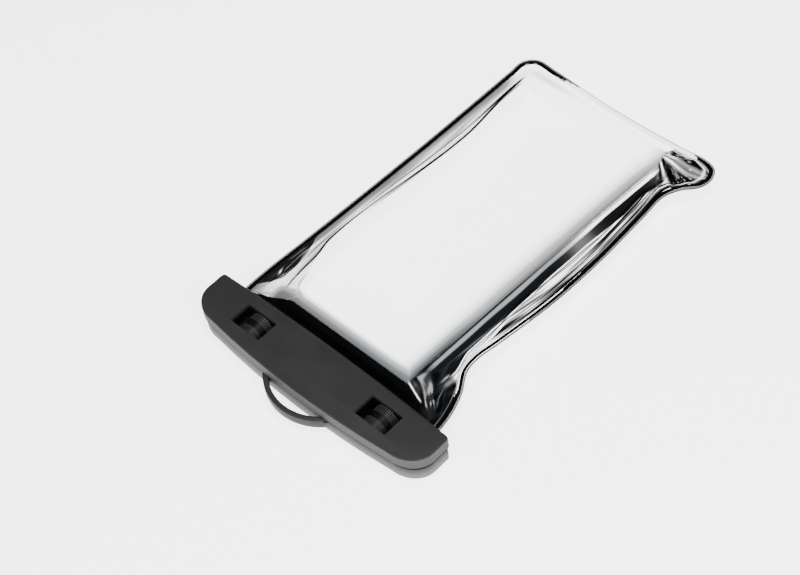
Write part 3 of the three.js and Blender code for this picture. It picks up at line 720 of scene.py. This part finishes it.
left_shade, left_streaks = 0.1, (0.14, 26, 0.35, 21)
left_rim_shade, left_rim_shade_width = 0.3, 2.4
left_shade_ends = (165, 152)
wedge_width, wedge_edge, wedge_black = 7, 0.6, 0.08
wedge_opens, wedge_closes = (15, 25), (34, 49)
wedge_sheen, wedge_glint = 0.5, 0.9
wedge_glint_y, wedge_glint_length = 26, 1.6
wedge_glint_x, wedge_glint_width, wedge_glint_slope = 2.6, 0.5, 0.4
outer_line_x, outer_bulge_y, outer_bulge_length = -41, 72, 14
outer_swing, outer_swing_y = 4, (72, 130)
crease_swing, crease_swing_y = 5, (42, 24)
film_lines = ((1.4, 0.5, (34, 46)), (1.2, 0.36, (18, 27)), (0.5, 0.24, (60, 80)))
film_lines_end = (150, 161)


# The left wall's painted light: grey painted shade across the wall, darker by the border, a dark wedge of
# painted reflection with painted sheen and a painted glint near the clamp, and thin painted dark lines along
# its creases.
def left_wall_tone(x, y, rim_x, tone):
    from_rim = x - rim_x
    crease = left_crease(y)
    if x < crease:
        shade = left_shade - streaks_along(y, from_rim, left_streaks)
        shade += left_rim_shade * near(from_rim, 0, left_rim_shade_width)
        tone = 1 - shade * blend_between(*left_shade_ends, y)
    dark_width = wedge_width * blend_between(*wedge_opens, y) * (1 - blend_between(*wedge_closes, y))
    in_wedge = 1 - blend_between(dark_width - wedge_edge, dark_width, from_rim)
    glint_at = from_rim + wedge_glint_slope * (y - wedge_glint_y)
    glint = near(glint_at, wedge_glint_x, wedge_glint_width) * near(y, wedge_glint_y, wedge_glint_length)
    wedge = wedge_black + wedge_sheen * max(ripples(y / 7, from_rim / 1.4, 31), 0) + wedge_glint * glint
    tone += (wedge - tone) * in_wedge
    outer_x = outer_line_x - near(y, outer_bulge_y, outer_bulge_length)
    outer_x += outer_swing * blend_between(*outer_swing_y, y)
    crease_x = crease - 0.3 + 0.5 * math.sin(y / 17) - crease_swing * blend_between(*crease_swing_y, y)
    inner_x = crease + 0.6 + 0.7 * math.sin(y / 23)
    lines = 0
    for line_x, (height, width, begins) in zip((outer_x, crease_x, inner_x), film_lines):
        lines += height * near(x, line_x, width) * blend_between(*begins, y)
    return tone - lines * (1 - blend_between(*film_lines_end, y))


mouth_shade_depth, mouth_shade_left = 0.5, (-44, -36)
mouth_shade_start, mouth_shade_end = 17, 23.5
mouth_shade_bulge, mouth_shade_bulge_width = 2, 6


# Painted shade: a grey gradient over the film just past the mouth band, where the film rises from the clamp,
# reaching farther by the right crease.
def mouth_painted_shade_tone(x, y, tone):
    ends = mouth_shade_end + mouth_shade_bulge * near(x, right_crease(y), mouth_shade_bulge_width)
    mouth_shade = mouth_shade_depth * (1 - blend_between(mouth_shade_start, ends, y))
    return min(tone, 1 - mouth_shade * blend_between(*mouth_shade_left, x))


fan_x, fan_y = -47.6, 13.4
fan_mean, fan_contrast, fan_turns, fan_length = 0.72, 0.8, 7, 40
fan_line_depth, fan_line_angle, fan_line_width = 0.4, 0.05, 0.16
fan_starts, fan_ends, fan_end_angles = (0.5, 3), (14, 21), (0.42, 0.62)
corner_starts = (-0.5, -2)


# Painted reflection: a fan of dark streaks over the gathers by the clamp's left end, with a dark ray, and
# faint painted dark arcs round the pocket's near left corner.
def left_gather_tone(x, y, tone):
    angle = math.atan2(y - fan_y, x - fan_x)
    reach = math.hypot(y - fan_y, x - fan_x)
    fan = fan_mean + fan_contrast * ripples(angle * fan_turns, reach / fan_length, 41)
    fan -= fan_line_depth * near(angle, fan_line_angle, fan_line_width)
    fades = (1 - blend_between(*fan_ends, reach)) * (1 - blend_between(*fan_end_angles, angle))
    tone += (min(tone, fan) - tone) * fades * blend_between(*fan_starts, reach)
    from_corner = math.hypot(x - left_corner_x, y - near_y)
    arcs = 0.12 * near(from_corner, 6.6, 0.4) + 0.06 * near(from_corner, 4.6, 0.6)
    return tone - arcs * blend_between(*corner_starts, x - left_corner_x)


glint_slope, glint_width, glint_ends = 0.304, 0.4, (38.6, 37.6)
glint_x, glint_y = 28.7, 18.7
second_glint_x, second_glint_y = 31, 22.6
flap_black, flap_streak = 0.04, 0.12
flap_ends, flap_rim = (32.5, 29), (0.2, 0.9)
flap_start, flap_slope = 2, 0.6


# Painted reflection and highlight: a dark flap by the clamp's right end, with painted glints and a grey
# patch.
def right_gather_tone(x, y, rim_x, tone):
    right = right_crease(y)
    first_at = y + glint_slope * (x - glint_x)
    second_at = y + glint_slope * (x - second_glint_x)
    glints = near(first_at, glint_y, glint_width) * blend_between(*glint_ends, x)
    glints += 0.3 * near(second_at, second_glint_y, glint_width) * near(x, 34, 2.4)
    glints += 0.8 * near(x, 38.3, 0.3) * near(y, 30, 3.4)
    grey_patch = 0.5 * near(x, 40.2, 0.9) * near(y, 28.6, 2.6)
    flap = flap_black + flap_streak * ripples(x / 2.4, y / 6, 52) + glints + grey_patch
    in_flap = blend_between(*flap_ends, y) * blend_between(*flap_rim, rim_x - x)
    past_crease = blend_between(right - flap_start, right, x + flap_slope * (glint_y - y))
    return tone + (flap - tone) * in_flap * past_crease


ear_root_x, ear_root_y = 33, 160.5
lean_x, lean_y = 0.974, 0.231
ear_length, ear_narrow, ear_bulge = 21, 1.2, 6
ear_rows, ear_fold_length = 1.7, 26
ear_mean, ear_contrast = 0.34, 2.1
ear_tip_glow, ear_tip = 0.2, (9, 17)
ear_line_tone, ear_line_share, ear_line_width = 0.9, 0.09, 0.05
ear_begins, ear_begins_y = (0.5, 3), (150, 156)


# Painted reflection: dark and light rays over the far right ear, paler towards its tip, with a pale painted
# line near the border.
def ear_tone(x, y, share, tone):
    to_tip = lean_x * (x - ear_root_x) + lean_y * (y - ear_root_y)
    off_line = lean_x * (y - ear_root_y) - lean_y * (x - ear_root_x)
    lens = ear_narrow + ear_bulge * math.sin(math.pi * min(max(to_tip, 0) / ear_length, 1))
    rays = ripples(off_line / lens * ear_rows, to_tip / ear_fold_length, 5)
    fan = ear_mean + ear_contrast * rays + ear_tip_glow * blend_between(*ear_tip, to_tip)
    fan += (ear_line_tone - fan) * near(share, ear_line_share, ear_line_width)
    in_ear = blend_between(*ear_begins, to_tip) * blend_between(*ear_begins_y, y)
    return tone + (fan - tone) * in_ear


top_tint, top_tint_ends = 0.5, (60, 85)
wall_tint, wall_tint_ends = 0.25, (90, 110)
far_shade, far_shade_x, far_shade_y = 0.13, (-29, 12), (165, 3)


def front_tone(x, y, rim_x, share):
    tone, blueness = 1.0, 0.0
    right = right_crease(y)
    if 0 < x <= right and y < 163:
        tone = top_edge_tone(x, y)
        blueness = top_tint * (1 - blend_between(*top_tint_ends, y))
    elif x > right:
        tone = right_wall_tone(x, y, rim_x)
        blueness = wall_tint * (1 - blend_between(*wall_tint_ends, y))
    if x < -20 and y < 166:
        tone = left_wall_tone(x, y, rim_x, tone)
    if y < 25 and -44 < x < right + 1:
        tone = mouth_painted_shade_tone(x, y, tone)
    if x < -26 and y < 30:
        tone = left_gather_tone(x, y, tone)
    if x > 28 and y < 33:
        tone = right_gather_tone(x, y, rim_x, tone)
    if x > 33 and y > 150:
        tone = ear_tone(x, y, share, tone)
    if x < 12 and y > 160:
        tone = min(tone, 1 - far_shade * near(x, *far_shade_x) * near(y, *far_shade_y))
    return min(max(tone, 0.0), 1.0), min(max(blueness, 0.0), 1.0)


# Colours of the painted tone: near black painted reflection up to pale grey, plain or slate blue; from a tone
# of 0.8 up the paint fades to the bare clear film.
tone_places = (0.02, 0.2, 0.6, 0.85)
neutral_tints = ((0.0005, 0.0005, 0.0006), (0.02, 0.02, 0.02), (0.165, 0.163, 0.16), (0.62, 0.61, 0.6))
bluish_tints = ((0.0005, 0.0012, 0.003), (0.013, 0.021, 0.032), (0.13, 0.17, 0.19), (0.58, 0.63, 0.64))
sheet_ripple_scale, sheet_ripple_detail = 70, 3
sheet_ripple_strength, sheet_ripple_depth = 0.2, 0.0003
clear_from_tone = (0.8, 0.99)
shine_at_slant = (0.03, 0.5)
slant_power = 4


def mixed_shader(material, share, first, second):
    mix = material.node_tree.nodes.new("ShaderNodeMixShader")
    for source, socket in ((share, "Fac"), (first, 1), (second, 2)):
        material.node_tree.links.new(source, mix.inputs[socket])
    return mix.outputs["Shader"]


def clear_film_material(name):
    material = new_finish(name, {"Roughness": 0.2, "Specular IOR Level": 0.3})
    nodes = material.node_tree.nodes
    links = material.node_tree.links
    shaded = nodes["Principled BSDF"]
    painted = nodes.new("ShaderNodeAttribute")
    painted.attribute_name = "film_tone"
    parts = nodes.new("ShaderNodeSeparateColor")
    links.new(painted.outputs["Color"], parts.inputs["Color"])
    tinted = nodes.new("ShaderNodeMix")
    tinted.data_type = "RGBA"
    links.new(parts.outputs["Green"], tinted.inputs["Factor"])
    for tints, socket in ((neutral_tints, "A"), (bluish_tints, "B")):
        stops = list(zip(tone_places, tints))
        links.new(colour_ramp(material, parts.outputs["Red"], stops), tinted.inputs[socket])
    links.new(tinted.outputs["Result"], shaded.inputs["Base Color"])
    clear = nodes.new("ShaderNodeBsdfTransparent")
    clear.inputs["Color"].default_value = (0.99, 0.99, 0.99, 1)
    gloss = nodes.new("ShaderNodeBsdfGlossy")
    gloss.inputs["Roughness"].default_value = 0.05
    ripple = object_noise(material, sheet_ripple_scale, sheet_ripple_detail)
    normal = bumped(material, ripple, sheet_ripple_strength, sheet_ripple_depth)
    for shader in (shaded, gloss):
        links.new(normal, shader.inputs["Normal"])
    facing = nodes.new("ShaderNodeLayerWeight")
    slant = nodes.new("ShaderNodeMath")
    slant.operation = "POWER"
    slant.inputs[1].default_value = slant_power
    links.new(facing.outputs["Facing"], slant.inputs[0])
    shine = ranged(material, slant.outputs["Value"], (0, 1), shine_at_slant)
    bare = mixed_shader(material, shine, clear.outputs["BSDF"], gloss.outputs["BSDF"])
    covered = ranged(material, parts.outputs["Red"], clear_from_tone, (1, 0))
    whole = mixed_shader(material, covered, bare, shaded.outputs["BSDF"])
    links.new(whole, nodes["Material Output"].inputs["Surface"])
    return material


def paint_film(piece, tone_at):
    layer = piece.data.attributes.new("film_tone", "FLOAT_COLOR", "POINT")
    for vertex in piece.data.vertices:
        along = (vertex.index % (round_steps + 1)) / round_steps
        inward = vertex.index // (round_steps + 1) / (wall_steps + face_steps)
        edge, share, x, y = spread_of(along, inward)
        tone, blueness = tone_at(x, y, edge.x, share)
        layer.data[vertex.index].color = (tone, blueness, 0, 1)


clear_film = clear_film_material("clear_film")
front_film = shaped_grid("front_film_sheet", round_steps, wall_steps + face_steps, film_surface(1))
paint_film(front_film, front_tone)
closed_up(front_film)
bpy.ops.object.shade_smooth()
front_film.data.materials.append(clear_film)
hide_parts("front_film")
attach(front_film, "pouch")

# The back film: a second clear sheet of the same outline behind the pocket, flat where it lies on the
# table. It is welded into the same border, and it is clear all over.
back_film = shaped_grid("back_film_sheet", round_steps, wall_steps + face_steps, film_surface(-1))
paint_film(back_film, lambda x, y, rim_x, share: (1.0, 0.0))
closed_up(back_film)
edited(back_film, bpy.ops.mesh.flip_normals)
bpy.ops.object.shade_smooth()
back_film.data.materials.append(clear_film)
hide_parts("back_film")
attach(back_film, "pouch")

# The mouth bands: strips of glossy black film welded over both films where the clamp closes on them. The
# front one shows as a black band between the bar and the pocket.
band_reach = {1: (-47.4, 38.5), -1: (-44, 44)}
band_height = {1: pocket_top, -1: 0.4}
band_start, band_end = 6.4, 17.4
band_taper_x, band_taper = -30, 0.3
band_hook, band_hook_x = 1.8, (30, 37)
band_side = (49, 34)
band_lift = 0.3
band_columns, band_rows = 120, 24


def band_surface(facing):
    left, right = band_reach[facing]

    def shape(across, inward):
        x = left + (right - left) * across
        end = band_end - band_taper * max(band_taper_x - x, 0) - band_hook * blend_between(*band_hook_x, x)
        y = band_start + (end - band_start) * inward
        sheet = film_plane + facing * film_gap
        lengthwise = blend_between(mouth_end, top_start, y)
        z = sheet + (band_height[facing] - sheet) * lengthwise * blend_between(*band_side, abs(x))
        return Vector((x, y, z + facing * band_lift))

    return shape


front_band = shaped_grid("front_mouth_strip", band_columns, band_rows, band_surface(1))
closed_up(front_band)
bpy.ops.object.shade_smooth()
front_band.data.materials.append(black_film)
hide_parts("front_mouth_band")
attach(front_band, "pouch")

back_band = shaped_grid("back_mouth_strip", band_columns, band_rows, band_surface(-1))
closed_up(back_band)
edited(back_band, bpy.ops.mesh.flip_normals)
bpy.ops.object.shade_smooth()
back_band.data.materials.append(black_film)
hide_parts("back_mouth_band")
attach(back_band, "pouch")
